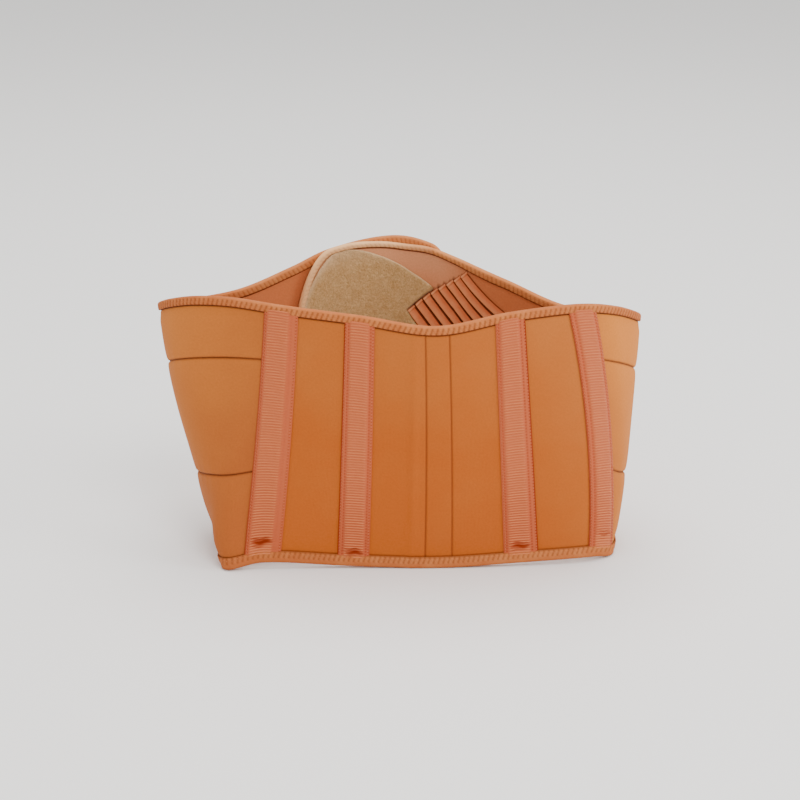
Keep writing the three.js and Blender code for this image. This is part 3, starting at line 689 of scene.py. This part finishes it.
def woven_band(name, face, groove, faded, seam, cord_mm, pick_mm, sheen, roughness):
    """Narrow woven band: cords one way, fine picks across, a soft synthetic sheen. The groove colour
    paints shade between the cords; the point shades add painted light on folds and lit edges, painted
    shadow, and some bands' own second tone. The weave is drawn at about 1 mm, coarser than it is, so
    that it shows."""
    material = new_material(name)
    band = add_node(material, "ShaderNodeUVMap", uv_map="cloth").outputs["UV"]
    seams = add_node(material, "ShaderNodeAttribute", attribute_name="seam").outputs["Fac"]
    light_and_tone_share = add_node(material, "ShaderNodeAttribute", attribute_name="fade").outputs["Fac"]
    ribs = add_node(material, "ShaderNodeAttribute", attribute_name="rib").outputs["Fac"]
    cords = add_node(material, "ShaderNodeTexWave", {
        "Vector": band, "Scale": math.pi / (10 * cord_mm * MM), "Distortion": 0.3, "Detail": 1,
    }, bands_direction="X")
    picks = add_node(material, "ShaderNodeTexWave", {
        "Vector": band, "Scale": math.pi / (10 * pick_mm * MM), "Distortion": 0.5, "Detail": 1,
    }, bands_direction="Y")
    slub = add_node(material, "ShaderNodeTexNoise", {
        "Vector": band, "Scale": 1 / (18 * MM), "Detail": 5, "Roughness": 0.7,
    })
    weave = add_node(material, "ShaderNodeMath", {
        0: cords.outputs["Fac"], 1: picks.outputs["Fac"],
    }, operation="MULTIPLY")
    raised = add_node(material, "ShaderNodeMapRange", {
        "Value": weave.outputs["Value"], "To Min": 0.62, "To Max": 1.15,
    })
    crest = add_node(material, "ShaderNodeMath", {
        0: raised.outputs["Result"], 1: ribs,
    }, operation="MULTIPLY", use_clamp=True)
    grooved = add_node(material, "ShaderNodeMix", {
        "Factor": crest.outputs["Value"], "A": linear(groove), "B": linear(face),
    }, data_type="RGBA")
    uneven = add_node(material, "ShaderNodeMapRange", {
        "Value": slub.outputs["Fac"], "From Min": 0.4, "From Max": 0.7, "To Min": -0.1, "To Max": 0.15,
    })
    # The pale share is the band's uneven tone plus its painted light and its own second tone.
    pale = add_node(material, "ShaderNodeMath", {
        0: uneven.outputs["Result"], 1: light_and_tone_share,
    }, operation="ADD", use_clamp=True)
    lit_and_toned = add_node(material, "ShaderNodeMix", {
        "Factor": pale.outputs["Value"], "A": grooved.outputs["Result"], "B": linear(faded),
    }, data_type="RGBA")
    shaded = add_node(material, "ShaderNodeMix", {
        "Factor": seams, "A": lit_and_toned.outputs["Result"], "B": linear(seam),
    }, data_type="RGBA")
    shine = add_node(material, "ShaderNodeMapRange", {"Value": seams, "To Min": 0.3, "To Max": 0})
    bump = add_node(material, "ShaderNodeBump", {
        "Height": weave.outputs["Value"], "Strength": 0.4, "Distance": 0.35 * MM,
    })
    return finish_material(material, {
        "Base Color": shaded.outputs["Result"], "Roughness": roughness,
        "Specular IOR Level": shine.outputs["Result"],
        "Sheen Weight": sheen, "Sheen Roughness": 0.4, "Sheen Tint": linear("#ffd8a8"),
        "Normal": bump.outputs["Normal"],
    })


elastic = woven_band("woven elastic", "#cf6b39", "#bb5a2e", "#e8a06c", "#4a1606",
                     cord_mm=1.5, pick_mm=1.1, sheen=0.1, roughness=0.65)


def cloth_steps(s, t, direction, length):
    """Steps in station and height that move a point by a length along the cloth."""
    _, along, up = wall_at(s, t)
    a, b, c = (along**2).sum(-1), (along * up).sum(-1), (up**2).sum(-1)
    p, q = (along * direction).sum(-1) * length, (up * direction).sum(-1) * length
    return (c * p - b * q) / (a * c - b * b), (a * q - b * p) / (a * c - b * b)


def way_across(s, t):
    """The level way across a band whose middle runs through (s, t), to the left of its run."""
    _, along, up = wall_at(s, t)
    run = np.gradient(cloth_points(s, t, 0), axis=0)
    return np.cross(outward_of(along, up), run / np.linalg.norm(run, axis=1, keepdims=True))


for k in range(STRIP_COUNT):
    start_s, start_t, slope = STRIP_FIRST + (STRIP_LAST - STRIP_FIRST) * k / (STRIP_COUNT - 1)
    length = start_s - STRIP_END
    end_rows = start_s - np.arange(0, 8, 0.5) / STATION_MM
    even_rows = np.linspace(STRIP_END, end_rows[-1], int(length * STATION_MM / 1.3))[:-1]
    mid_s = np.concatenate([even_rows, end_rows[::-1]])
    gone = start_s - mid_s
    mid_t = start_t - slope * gone * (1 - gone / length / 2)
    side = np.linspace(-1, 1, 25)[:, None]
    level_way = way_across(mid_s, mid_t)[None]
    ds, dt = cloth_steps(mid_s[None], mid_t[None], level_way, side * STRIP_WIDTH / 2)
    s, t = mid_s + ds, mid_t + dt
    from_end = np.linalg.norm(cloth_points(mid_s, mid_t, 0) - cloth_points(start_s, start_t, 0), axis=1)
    tip = bell(from_end, 0.6 * MM)
    fold = bell(from_end - 1.4 * MM, 0.8 * MM)
    tack = bell(from_end - 3.4 * MM, 0.5 * MM)
    free = smooth(1 * MM, 5 * MM, from_end)
    tuck_shadow = bell(side - 0.9, 0.15) * free
    edge = np.abs(side) ** 14
    lift = MM * (0.5 * (1 - side) * free + 0.3 * fold - 0.3 * tip - 0.5 * edge - 0.3 * tuck_shadow)
    # Painted shade darkens the tucked edge and the very end; painted light pales the lifted side and the
    # fold. The tack line is the stitching.
    strip = cloth_sheet(f"elastic_strip_{k + 1}_band", s, t, -WALL - LAYER_CLEAR - 1.1 * MM - lift,
                        1 * MM, elastic, "elastic", inside=True,
                        seam=np.clip(tuck_shadow + 0.3 * tack + 0.8 * tip, 0, 1),
                        fade=np.clip(0.5 * fold + 0.5 * smooth(0.9, -0.9, side), 0, 1))
    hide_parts(f"elastic_strip_{k + 1}")

# Stay casings: corded ribbons sewn down the back along both margins. The flat stay inside lifts the
# middle, and the ribbon is creased where the pocket closes near the hem, with painted shadow in the
# crease.
# The cords are painted light on their crests and in shade in their grooves.
RIB_PITCH = 2.75 * MM
RIB_RISE = 0.6 * MM
CASING_EDGE = 1.1 * MM
STAY_RISE = 1.6 * MM
STAY_SHARE = 0.6
STITCH_PITCH = 3.2 * MM
STAYS = (
    # station, widths at rim and hem, height of the pocket's end, depth of its crease, darkness of the
    # open seam (under 0 on the left), shift of the ribs, how far the foot stands to the right
    (9, 34 * MM, 38 * MM, 0.088, 1, -0.6, -0.12, 0),
    (10, 29 * MM, 32 * MM, 0.06, 0.9, -0.85, 0.02, 0),
    (12, 29 * MM, 35 * MM, 0.074, 0.9, 1, -0.08, 0),
    (13, 30 * MM, 30 * MM, 0.095, 0.5, -0.5, 0.04, 8 * MM),
)
# Strokes of the crease: each dents the ribbon and paints shadow into it.
CREASE_STROKES = (
    # middle across, height in mm, half length, half thickness in mm, darkness
    (-0.1, 3, 0.95, 1.3, 0.8),
    (0.1, -0.8, 1.05, 3.4, 1),
    (-0.3, -5.2, 0.7, 1, 0.65),
)
ribbon = woven_band("corded polyester ribbon", "#d37b46", "#a03e18", "#b5532a", "#7a2005",
                    cord_mm=0.9, pick_mm=3.1, sheen=0.06, roughness=0.55)
thread = woven_band("polyester thread", "#c9744a", "#a9562f", "#d58a60", "#7d2c14",
                    cord_mm=0.6, pick_mm=0.6, sheen=0.1, roughness=0.55)
stitch_starts, stitch_ends = [], []


def sew(points):
    """Keep a row of stitches: each goes from one point of a line to the next, short of both."""
    step = points[1:] - points[:-1]
    stitch_starts.append(points[:-1] + 0.12 * step)
    stitch_ends.append(points[1:] - 0.12 * step)


def beside(station, t, length):
    """The station a length along the cloth from another, at one height."""
    t, length = np.broadcast_arrays(t, length)
    s = np.full(t.shape, float(station))
    for _ in range(8):
        s = s + length / 8 / np.linalg.norm(wall_at(s, t)[1], axis=-1)
    return s


def casing(number, station, rim_width, hem_width, pocket_end, depth, opening, shift, foot):
    tall = float(wall_height(station))
    low, high = (HEM_TAPE_LEG - 3 * MM) / tall, 1 - (RIM_TAPE_LEG - 3 * MM) / tall
    rows = np.linspace(low, high, int((high - low) * tall / (0.48 * MM)))
    across = np.concatenate([
        np.linspace(-1, -STAY_SHARE - 0.12, 7), np.linspace(-STAY_SHARE - 0.06, STAY_SHARE + 0.06, 13),
        np.linspace(STAY_SHARE + 0.12, 1, 7),
    ])
    side, t = grid(across, rows)
    half = (hem_width + (rim_width - hem_width) * t) / 2
    s = beside(station, t, side * half + foot * (1 - t))
    inner = (side - shift) / STAY_SHARE
    lifted = smooth(1.14, 0.92, np.abs(inner))
    above = (t - pocket_end) * tall + 0.9 * MM * np.sin(4.5 * inner + 2 * number)
    crease = np.zeros(t.shape)
    for middle, rise, reach, thick, dark in CREASE_STROKES:
        taper = depth * np.clip(1 - ((inner - middle) / reach) ** 2, 0.01, 1) ** 0.5
        stroke = bell(above - rise * MM, thick * MM * taper)
        crease = np.maximum(crease, dark * taper * stroke)
    crease = crease * lifted
    pocket = smooth(pocket_end - 8 * MM / tall, pocket_end + 4 * MM / tall, t)
    wander = 0.5 * inner**2 + 0.3 * np.sin(t * tall / (23 * MM)) * inner
    ribs = (0.5 - 0.5 * np.cos(2 * np.pi * t * tall / RIB_PITCH + wander)) ** 1.9
    edge = bell((1 - np.abs(side)) * half, 1 * MM)
    stitched = np.zeros(t.shape)
    for line in (-0.9, shift - STAY_SHARE - 0.13, shift + STAY_SHARE + 0.13, 0.9):
        dots = 0.55 + 0.45 * np.cos(2 * np.pi * t * tall / STITCH_PITCH + 9 * line)
        stitched = np.maximum(stitched, dots * bell((side - line) * half, 0.7 * MM))
    out = LAYER_CLEAR + CASING_EDGE + (STAY_RISE - LAYER_CLEAR) * lifted * (0.35 + 0.65 * pocket)
    out = out + RIB_RISE * (ribs - 0.4) * (0.15 + 0.85 * lifted)
    out = out - MM * (0.7 * crease + 0.7 * edge + 0.4 * stitched)
    open_edge = abs(opening) * bell((1 - side * np.sign(opening)) * half, 1 * MM)
    low_share = smooth(0.5, 0.05, t)
    # Painted shade: the crease strokes and the cord grooves are darkened and the crests lit; the ribbon
    # is also darker along its edges and towards the hem.
    seam = 0.95 * crease + 0.6 * stitched + 0.15 * edge + 0.95 * open_edge + 0.12 * low_share
    strong = 0.34 + 0.5 * low_share
    slant = np.sin(2 * np.pi * (t * tall / (2.6 * MM) + np.abs(side) * half / (3 * MM)))
    lumps = 0.25 * smooth(0, -3 * MM, (t - pocket_end) * tall)
    rib = 0.3 + 0.1 * slant * (1 - lifted) + lifted * (0.22 + strong * (1.5 * ribs - 0.5) + lumps)
    piece = cloth_sheet(f"stay_casing_{number}_ribbon", s, t, out, 0.9 * MM, ribbon, "ribbed_ribbon",
                        seam=np.clip(seam, 0, 0.95), rib=rib, fade=0.75 * (1 - lifted))
    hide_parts(f"stay_casing_{number}")
    knots = np.arange(low * tall, high * tall, STITCH_PITCH) / tall
    half = (hem_width + (rim_width - hem_width) * knots) / 2
    for line in (-0.9, 0.9):
        seam_s = beside(station, knots, line * half + foot * (1 - knots))
        sew(cloth_points(seam_s, knots, LAYER_CLEAR + CASING_EDGE - 0.2 * MM))


for k, stay in enumerate(STAYS):
    casing(k + 1, *stay)

# Edge tapes: woven tape folded over every raw edge and caught down by a zigzag. The thread pulls a
# zigzag groove into each leg, and the tape between stands up in small slanting pillows.
ZIGZAG_PITCH = 5 * MM
STEEP_SHARE = 0.34
FOLD_REACH = 1.3 * MM
PATH_STEP = 0.8 * MM
TAPE_BODY = 1 * MM
tape = woven_band("folded cotton tape", "#b66029", "#984a1e", "#d98f52", "#5c3016",
                  cord_mm=1.2, pick_mm=1.2, sheen=0.05, roughness=0.85)
pale_tape = woven_band("folded cotton tape, pale end", "#b45e26", "#a0562a", "#edb57c", "#8a4c22",
                       cord_mm=1.2, pick_mm=1.2, sheen=0.1, roughness=0.85)


def zigzag(run, inner, outer):
    """Where the thread lies across a leg, as a share from the fold: a steep stitch, then a slanting
    one."""
    beat = run / ZIGZAG_PITCH - np.floor(run / ZIGZAG_PITCH)
    return inner + (outer - inner) * np.minimum(beat / STEEP_SHARE, (1 - beat) / (1 - STEEP_SHARE))


def from_stitches(run, leg, leg_length, inner, outer):
    """Distances from the steep stitches and from the slanting ones."""
    span = (outer - inner) * leg_length
    risen = (leg - inner) * leg_length / span
    gaps = []
    for start, reach in ((0, STEEP_SHARE), (1, STEEP_SHARE - 1)):
        beat = run / ZIGZAG_PITCH - start - reach * risen
        slope = reach * ZIGZAG_PITCH / span
        gaps.append((beat - np.round(beat)) * ZIGZAG_PITCH / np.hypot(1, slope))
    return gaps


def tape_section():
    """The closed outline of the folded tape: out from the cloth's face, in from its edge, and for the
    outer face the share of the leg and the side it is on."""
    legs = np.linspace(1, 0, 10)
    turn = np.linspace(0, np.pi, 8)[1:-1]
    half, thin = WALL / 2 + TAPE_FACE, WALL / 2 + TAPE_FACE - TAPE_BODY
    middle = -WALL / 2
    return np.array(
        [(middle + half, share, 0, share, 1) for share in legs]
        + [(middle + half * np.cos(angle), 0, -FOLD_REACH * np.sin(angle), -1, 0) for angle in turn]
        + [(middle - half, share, 0, share, -1) for share in legs[::-1]]
        + [(middle - thin, share, 0, -1, 0) for share in (1, 0)]
        + [(middle + thin, share, 0, -1, 0) for share in (0, 1)]
        + [(middle + half, 1, 0, 1, 1)]
    ).T


def binding(name, path_s, path_t, leg_of, sewn, notch_shade, material, fade_of):
    """Tape round a stretch of edge. The path runs with the cloth on its left, seen from outside."""
    middle = cloth_points(path_s, path_t, 0)
    run = np.concatenate([[0], np.cumsum(np.linalg.norm(np.diff(middle, axis=0), axis=1))])
    even = np.linspace(0, run[-1], int(run[-1] / PATH_STEP))
    path_s, path_t = np.interp(even, run, path_s), np.interp(even, run, path_t)
    inward_way, leg_length = way_across(path_s, path_t), leg_of(path_s)
    out, leg_share, beyond, leg, face = (column[:, None] for column in tape_section())
    inward = leg_share * leg_length + beyond
    ds, dt = cloth_steps(path_s[None], path_t[None], inward_way[None], inward)
    s, t = path_s + ds, path_t + dt
    steep, slanting = from_stitches(even[None], leg, leg_length, *sewn)
    low, high = sewn
    caught = smooth(low - 0.08, low + 0.04, leg) * smooth(high + 0.06, high - 0.04, leg)
    caught = caught * (leg >= 0)
    groove = bell(steep, 0.8 * MM) * caught
    faint = bell(slanting, 0.6 * MM) * caught
    pinch = bell((1 - leg) * leg_length, 0.7 * MM) * (leg >= 0)
    full = np.sqrt(np.clip(np.sin(np.pi * np.clip(leg * 0.85 + 0.15, 0, 1)), 0, 1))
    plain = np.where(face < 0, 0.55, 1)
    relief = MM * (0.3 * full + 0.4 * caught - 0.6 * groove * plain - 0.15 * faint - 0.3 * pinch)
    points = cloth_points(s, t, out + relief * face)
    points[..., 2] = np.maximum(points[..., 2], 0)
    fold = bell(inward + 0.5 * MM, 1.6 * MM) * (out > -WALL - 1 * MM)
    hem = smooth(0.1, 0.05, t)
    # Painted shade darkens the zigzag notches, the tips of the legs and the hem's bottom fold; painted
    # highlights pale the other folds and the pillows between the stitches.
    seam = (0.5 * groove + 0.12 * faint) * notch_shade * plain + 0.5 * pinch + 0.3 * fold * hem
    seam = np.clip(seam, 0, 0.9)
    pale = fade_of(s, t) + 0.12 * fold * (1 - hem) + 0.12 * caught * (1 - groove)
    section = np.stack([out[:, 0], inward[:, 0]], axis=1)
    around = np.cumsum(np.linalg.norm(np.diff(section, axis=0, prepend=section[:1]), axis=1))
    flat = np.stack(np.broadcast_arrays(even[None], around[:, None]), axis=-1)
    piece = cloth_grid(name, points, flat, {"seam": seam, "fade": np.clip(pale, 0, 1)})
    bpy.ops.object.mode_set(mode="EDIT")
    bpy.ops.mesh.select_all(action="SELECT")
    bpy.ops.mesh.remove_doubles(threshold=1e-6)
    bpy.ops.mesh.select_all(action="DESELECT")
    bpy.ops.mesh.select_non_manifold(extend=False)
    bpy.ops.mesh.fill()
    bpy.ops.mesh.select_all(action="SELECT")
    bpy.ops.mesh.normals_make_consistent(inside=False)
    bpy.ops.object.mode_set(mode="OBJECT")
    finish_cloth(piece, material)
    beats = np.arange(1, int(run[-1] / ZIGZAG_PITCH))
    knots = np.sort(np.concatenate([beats, beats + STEEP_SHARE])) * ZIGZAG_PITCH
    knot_s, knot_t = np.interp(knots, even, path_s), np.interp(knots, even, path_t)
    ways = np.stack([np.interp(knots, even, inward_way[:, k]) for k in range(3)], axis=1)
    step_s, step_t = cloth_steps(knot_s, knot_t, ways, zigzag(knots, *sewn) * leg_of(knot_s))
    for lie in (TAPE_FACE - 0.05 * MM, -WALL - TAPE_FACE + 0.05 * MM):
        sew(cloth_points(knot_s + step_s, knot_t + step_t, lie))
    return piece


JOINT = 0.003
RIM_STITCHES = (0.12, 0.95)
HEM_STITCHES = (0.42, 0.97)
rim_from = OUTER_END + OUTER_CORNER[0]
tab_from = INNER_END - INNER_CORNER[0]


def hem_leg(s):
    return np.full_like(s, HEM_TAPE_LEG)


def plain_fade(s, t):
    """The tape is paler on the far side of the rim and at the middle of the hem."""
    back, far = smooth(7.6, 9.6, s) * smooth(17, 13, s), smooth(15.5, 17.5, s) + smooth(3.6, 2.4, s)
    rim = (0.1 * back + 0.3 * far + 0.35 * smooth(17.8, 19.4, s)) * smooth(0.3, 0.7, t)
    return rim + 0.15 * smooth(9.3, 10.5, s) * smooth(17, 13, s) * smooth(0.1, 0.05, t)


# The pale end tape is paler in its own colour.
def tab_fade(s, t):
    return 0.95 * smooth(18.9, 20.7, s)


hem_s = np.linspace(rim_from + JOINT, tab_from - JOINT, 2000)
rim_s = np.linspace(PALE_TAPE_FROM - JOINT, rim_from + JOINT, 2000)
tab_t = np.concatenate([corner_rows(INNER_CORNER[1]), np.ones(400)])
tab_s = np.concatenate([flap_end(corner_rows(INNER_CORNER[1]), INNER_END, INNER_CORNER, 1),
                        np.linspace(tab_from, PALE_TAPE_FROM, 401)[1:]])
end_t = corner_rows(OUTER_CORNER[1])[::-1]
end_s = flap_end(end_t, OUTER_END, OUTER_CORNER, -1)
hem_tape = binding("hem_tape", hem_s, np.zeros_like(hem_s), hem_leg, HEM_STITCHES, 0.9, tape,
                   plain_fade)
rim_tape = binding("rim_tape", rim_s, np.ones_like(rim_s), rim_leg, RIM_STITCHES, 1, tape,
                   plain_fade)
tab_tape = binding("tab_tape", tab_s, tab_t, rim_leg, RIM_STITCHES, 0.5, pale_tape,
                   tab_fade)
end_tape = binding("end_tape", end_s, end_t, rim_leg, RIM_STITCHES, 1, tape, plain_fade)
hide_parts("bottom_binding")
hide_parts("top_binding")
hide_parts("inner_flap_binding")
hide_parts("outer_flap_binding")

# Sewing thread: the stitches kept above, each a slim bead of twisted polyester thread sunk between
# its two needle holes. They are one mesh, copied from one bead.
THREAD_RADIUS = 0.27 * MM
bpy.ops.object.select_all(action="DESELECT")
bpy.ops.mesh.primitive_uv_sphere_add(segments=5, ring_count=3, radius=1)
stitches = bpy.context.object
stitches.name = "stitches"
bead = np.array([vertex.co for vertex in stitches.data.vertices])
bead_faces = [tuple(polygon.vertices) for polygon in stitches.data.polygons]
starts, ends = np.concatenate(stitch_starts), np.concatenate(stitch_ends)
reach = (ends - starts) / 2
reach_way = reach / np.linalg.norm(reach, axis=1, keepdims=True)
across = np.cross(reach_way, (0, 0, 1)) + np.array((1e-6, 0, 0))
across /= np.linalg.norm(across, axis=1, keepdims=True)
other = np.cross(reach_way, across)
beads = ((starts + ends) / 2)[:, None] + bead[None, :, 2:3] * reach[:, None]
rounds = bead[None, :, :1] * across[:, None] + bead[None, :, 1:2] * other[:, None]
beads = beads + THREAD_RADIUS * rounds
faces = [tuple(n * len(bead) + k for k in face) for n in range(len(starts)) for face in bead_faces]
stitches.data.clear_geometry()
stitches.data.from_pydata(beads.reshape(-1, 3), [], faces)
shade_points(stitches, (len(beads) * len(bead),), {})
stitches.data.uv_layers.new(name="cloth")
bpy.ops.object.shade_smooth()
stitches.data.materials.append(thread)
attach(stitches, "root")

# Floor and light: a pale table, a broad soft light from above and behind the camera, and one from each
# side, the right one stronger.
floor_paper = new_material("matt white paper")
finish_material(floor_paper, {"Base Color": linear("#f7f5f2"), "Roughness": 0.95})
bpy.ops.object.select_all(action="DESELECT")
bpy.ops.mesh.primitive_plane_add(size=14, location=(0, 0, 0))
floor = bpy.context.object
floor.name = "floor"
floor.data.materials.append(floor_paper)

LIGHTS = (
    # name, place, size, watts
    ("key", (0.7, -1.7, 2.1), 1.3, 30),
    ("left", (-2.2, -1.2, 1.0), 1.4, 5),
    ("right", (2.4, -0.7, 1.0), 1.2, 26),
    ("top", (0, 0.6, 3.4), 3, 90),
)
for name, place, size, watts in LIGHTS:
    aim = (Vector((0, 0, 0.14)) - Vector(place)).to_track_quat("-Z", "Y").to_euler()
    bpy.ops.object.light_add(type="AREA", location=place, rotation=aim)
    lamp = bpy.context.object
    lamp.name = name + "_light"
    lamp.data.shape = "DISK"
    lamp.data.size = size
    lamp.data.energy = watts

world = bpy.data.worlds.new("studio")
world.use_nodes = True
world.node_tree.nodes["Background"].inputs["Color"].default_value = linear("#ffffff")
world.node_tree.nodes["Background"].inputs["Strength"].default_value = 1.0
bpy.context.scene.world = world
